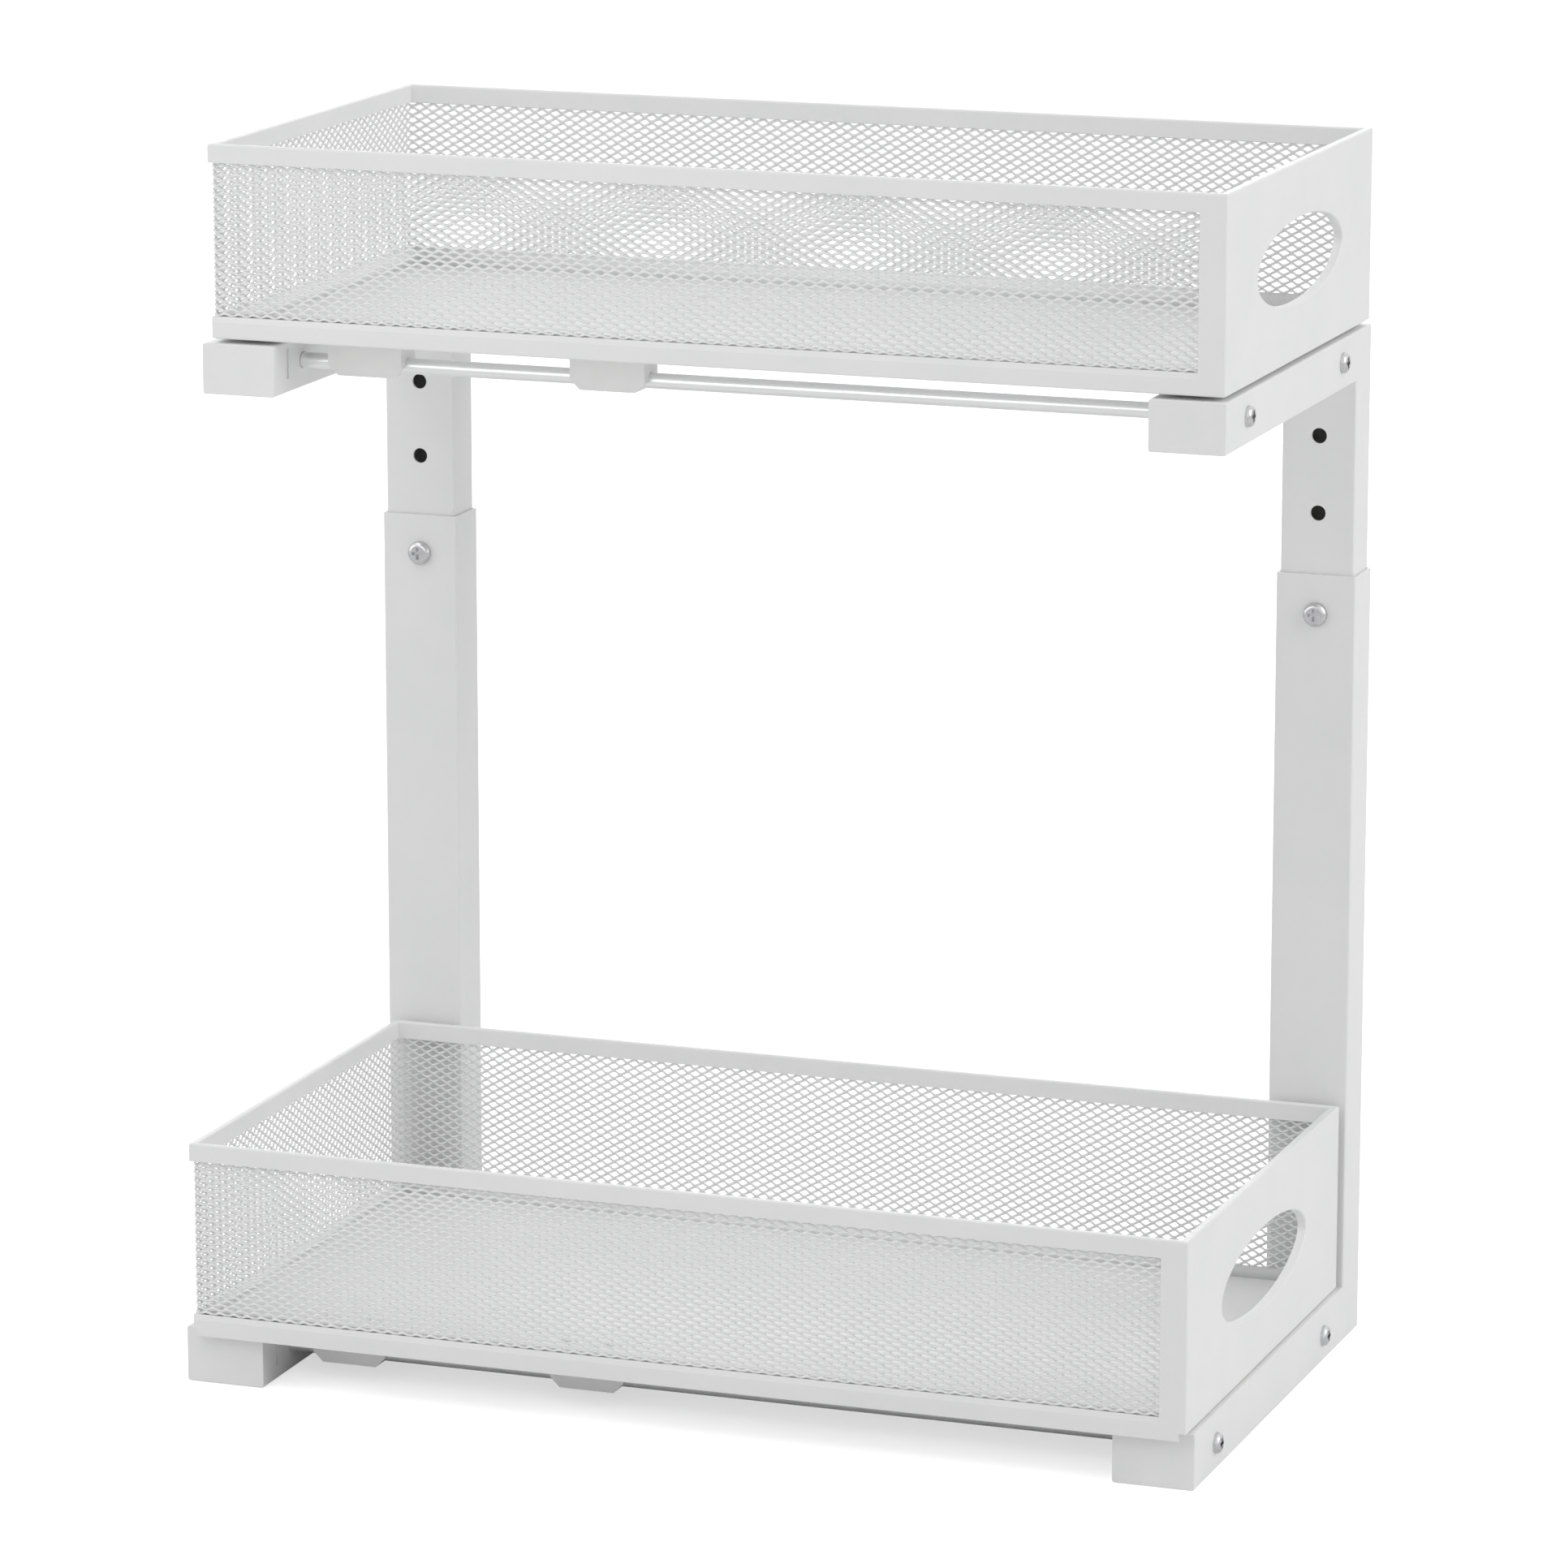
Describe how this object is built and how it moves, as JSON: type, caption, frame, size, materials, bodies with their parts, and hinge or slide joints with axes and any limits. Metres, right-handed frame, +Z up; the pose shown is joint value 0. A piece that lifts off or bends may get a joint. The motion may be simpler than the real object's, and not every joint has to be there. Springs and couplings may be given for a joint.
{
  "type": "under sink organizer",
  "caption": "Free-standing two-tier organizer: telescoping C-shaped end frames carry mesh-sided pull-out baskets on slide rods, with oval hand holes.",
  "frame": {"origin": "bottom centre of the overall bounding box, on the floor", "axes": "+X the way the baskets pull out, towards the handle panels; +Y towards the posts; +Z up"},
  "size_m": [0.411, 0.229, 0.4775],
  "materials": {
    "powder_coat": "satin white powder coat",
    "chrome_rod": "polished",
    "screw": "nickel plated",
    "slider_plastic": "moulded acetal",
    "cap_plastic": "moulded",
    "rivet": "painted over"
  },
  "bodies": {
    "lower_frame": {"back_foot": "powder_coat", "back_foot_cap": "cap_plastic", "back_lower_post": "powder_coat", "front_foot": "powder_coat", "front_foot_cap": "cap_plastic", "front_lower_post": "powder_coat", "height_lock_screws": "screw", "lower_open_side_rod": "chrome_rod", "lower_post_side_rod": "chrome_rod", "lower_rod_screws": "screw"},
    "upper_frame": {"back_arm": "powder_coat", "back_arm_cap": "cap_plastic", "back_upper_post": "powder_coat", "front_arm": "powder_coat", "front_arm_cap": "cap_plastic", "front_upper_post": "powder_coat", "upper_open_side_rod": "chrome_rod", "upper_post_side_rod": "chrome_rod", "upper_rod_screws": "screw"},
    "lower_basket": {"lower_basket_back_mesh": "powder_coat", "lower_basket_back_rim": "powder_coat", "lower_basket_floor_tray": "powder_coat", "lower_basket_handle_panel": "powder_coat", "lower_basket_open_side_back_slider": "slider_plastic", "lower_basket_open_side_end_band": "powder_coat", "lower_basket_open_side_front_slider": "slider_plastic", "lower_basket_open_side_mesh": "powder_coat", "lower_basket_open_side_rim": "powder_coat", "lower_basket_post_side_back_slider": "slider_plastic", "lower_basket_post_side_end_band": "powder_coat", "lower_basket_post_side_front_slider": "slider_plastic", "lower_basket_post_side_mesh": "powder_coat", "lower_basket_post_side_rim": "powder_coat", "lower_basket_slider_rivets": "rivet"},
    "upper_basket": {"upper_basket_back_mesh": "powder_coat", "upper_basket_back_rim": "powder_coat", "upper_basket_floor_tray": "powder_coat", "upper_basket_handle_panel": "powder_coat", "upper_basket_open_side_back_slider": "slider_plastic", "upper_basket_open_side_end_band": "powder_coat", "upper_basket_open_side_front_slider": "slider_plastic", "upper_basket_open_side_mesh": "powder_coat", "upper_basket_open_side_rim": "powder_coat", "upper_basket_post_side_back_slider": "slider_plastic", "upper_basket_post_side_end_band": "powder_coat", "upper_basket_post_side_front_slider": "slider_plastic", "upper_basket_post_side_mesh": "powder_coat", "upper_basket_post_side_rim": "powder_coat", "upper_basket_slider_rivets": "rivet"}
  },
  "joints": [
    {"name": "height_adjust", "type": "slide", "parent": "lower_frame", "child": "upper_frame", "axis": [0, 0, 1], "range_m": [-0.0697, 0]},
    {"name": "lower_basket_slide", "type": "slide", "parent": "lower_frame", "child": "lower_basket", "axis": [1, 0, 0], "range_m": [-0.0115, 0.201]},
    {"name": "upper_basket_slide", "type": "slide", "parent": "upper_frame", "child": "upper_basket", "axis": [1, 0, 0], "range_m": [-0.0125, 0.202]}
  ]
}
